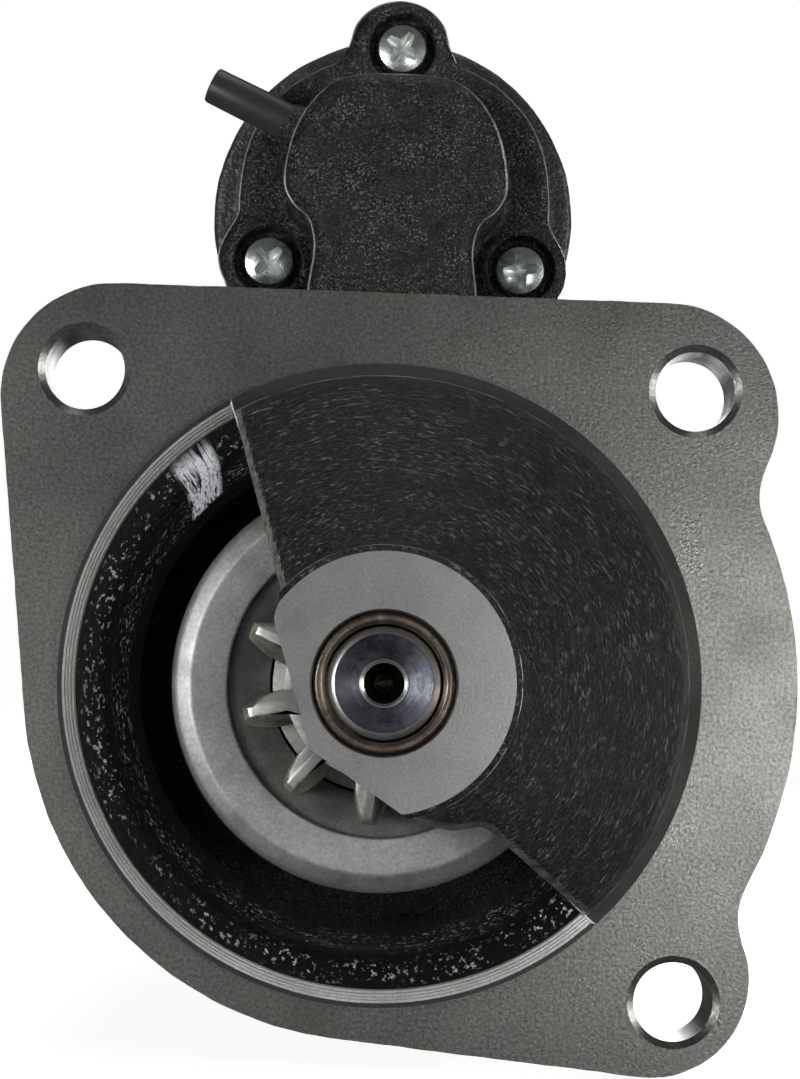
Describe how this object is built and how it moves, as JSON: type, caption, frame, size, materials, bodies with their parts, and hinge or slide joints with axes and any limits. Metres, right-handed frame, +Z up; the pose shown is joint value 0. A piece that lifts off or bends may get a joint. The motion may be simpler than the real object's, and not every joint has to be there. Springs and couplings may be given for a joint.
{
  "type": "starter motor",
  "caption": "Pre-engaged starter motor with lug flange, open-sided nose cone, solenoid on top, shift fork, overrunning pinion drive and wound field",
  "frame": {"origin": "centre of the locating pilot on the plane of the flange's mounting face", "axes": "+Z up from the shaft towards the solenoid, +Y along the shaft towards the commutator end, +X to the right seen from the nose"},
  "size_m": [0.1167, 0.2988, 0.1666],
  "materials": {
    "cast_iron_painted": "black paint on rough casting, mounting faces machined bare",
    "black_paint": "satin black paint",
    "steel": "bright machined steel",
    "zinc_plate": "bright zinc plate",
    "dark_steel": "oiled dark steel",
    "laminations": "stacked electrical steel",
    "bronze": "sintered bronze",
    "copper": "bare copper",
    "winding_copper": "varnished copper winding",
    "rubber": "black rubber",
    "phenolic": "dark moulded phenolic",
    "carbon": "copper-graphite brush",
    "spring_steel": "spring wire"
  },
  "bodies": {
    "housing": {"drive_end_housing": "cast_iron_painted", "nose_bush": "bronze", "vent_tube": "rubber", "solenoid_screw_top": "zinc_plate", "solenoid_screw_left": "zinc_plate", "solenoid_screw_right": "zinc_plate", "intermediate_plate": "laminations", "yoke": "black_paint", "field_coils": "winding_copper", "pole_shoe_1": "laminations", "pole_shoe_2": "laminations", "pole_shoe_3": "laminations", "pole_shoe_4": "laminations", "pole_screw_1": "zinc_plate", "pole_screw_2": "zinc_plate", "pole_screw_3": "zinc_plate", "pole_screw_4": "zinc_plate", "end_housing": "black_paint", "rear_bush": "bronze", "end_cap": "black_paint", "end_cap_screw_top": "zinc_plate", "end_cap_screw_bottom": "zinc_plate", "through_bolt_left": "zinc_plate", "through_bolt_right": "zinc_plate", "brush_plate": "zinc_plate", "brush_spring_1": "spring_steel", "brush_spring_2": "spring_steel", "brush_spring_3": "spring_steel", "brush_spring_4": "spring_steel", "fork_pivot_bolt": "zinc_plate", "solenoid_case": "black_paint", "solenoid_coil": "winding_copper", "solenoid_core": "steel", "solenoid_cap": "phenolic", "battery_terminal": "copper", "motor_terminal": "copper", "trigger_terminal": "zinc_plate", "battery_nut": "zinc_plate", "motor_nut": "zinc_plate", "motor_lead": "copper", "lead_grommet": "rubber", "return_spring": "spring_steel"},
    "armature": {"armature_shaft": "steel", "armature_core": "laminations", "armature_winding": "winding_copper", "commutator": "copper", "stop_ring": "steel"},
    "collar": {"shift_collar": "dark_steel", "meshing_spring": "spring_steel"},
    "clutch": {"clutch_driver": "dark_steel", "clutch_cover": "steel", "clutch_washer": "dark_steel"},
    "pinion": {"pinion": "steel"},
    "fork": {"shift_fork": "dark_steel"},
    "plunger": {"plunger": "steel"},
    "contact": {"contact_bridge": "copper"},
    "brush_1_body": {"brush_1": "carbon"},
    "brush_2_body": {"brush_2": "carbon"},
    "brush_3_body": {"brush_3": "carbon"},
    "brush_4_body": {"brush_4": "carbon"}
  },
  "joints": [
    {"name": "armature_spin", "type": "hinge", "parent": "housing", "child": "armature", "pos_m": [0, 0, 0], "axis": [0, 1, 0], "continuous": true},
    {"name": "plunger_slide", "type": "slide", "parent": "housing", "child": "plunger", "axis": [0, 1, 0], "range_m": [0, 0.01], "stiffness_N_per_m": 1500, "springref_m": -0.02, "deforming": ["return_spring"]},
    {"name": "fork_swing", "type": "hinge", "parent": "housing", "child": "fork", "pos_m": [0, 0.042, 0.0475], "axis": [1, 0, 0], "range_deg": [-18.7, 0]},
    {"name": "drive_slide", "type": "slide", "parent": "armature", "child": "collar", "axis": [0, -1, 0], "range_m": [0, 0.0154]},
    {"name": "drive_twist", "type": "hinge", "parent": "collar", "child": "clutch", "pos_m": [0, 0, 0], "axis": [0, 1, 0], "range_deg": [0, 23.2]},
    {"name": "pinion_overrun", "type": "hinge", "parent": "clutch", "child": "pinion", "pos_m": [0, 0, 0], "axis": [0, 1, 0], "continuous": true},
    {"name": "contact_slide", "type": "slide", "parent": "housing", "child": "contact", "axis": [0, 1, 0], "range_m": [0, 0.0028]},
    {"name": "brush_1_slide", "type": "slide", "parent": "housing", "child": "brush_1_body", "axis": [0.7071, 0, 0.7071], "range_m": [0, 0.0035], "stiffness_N_per_m": 900, "springref_m": -0.012, "deforming": ["brush_spring_1"]},
    {"name": "brush_2_slide", "type": "slide", "parent": "housing", "child": "brush_2_body", "axis": [-0.7071, 0, 0.7071], "range_m": [0, 0.0035], "stiffness_N_per_m": 900, "springref_m": -0.012, "deforming": ["brush_spring_2"]},
    {"name": "brush_3_slide", "type": "slide", "parent": "housing", "child": "brush_3_body", "axis": [-0.7071, 0, -0.7071], "range_m": [0, 0.0035], "stiffness_N_per_m": 900, "springref_m": -0.012, "deforming": ["brush_spring_3"]},
    {"name": "brush_4_slide", "type": "slide", "parent": "housing", "child": "brush_4_body", "axis": [0.7071, 0, -0.7071], "range_m": [0, 0.0035], "stiffness_N_per_m": 900, "springref_m": -0.012, "deforming": ["brush_spring_4"]}
  ],
  "couplings": [
    {"joint": "fork_swing", "follows": "plunger_slide", "rad_per_m": -32.43},
    {"joint": "drive_slide", "follows": "plunger_slide", "ratio": 1.534},
    {"joint": "drive_twist", "follows": "plunger_slide", "rad_per_m": 40.16},
    {"joint": "contact_slide", "follows": "plunger_slide", "ratio": 0.27}
  ]
}
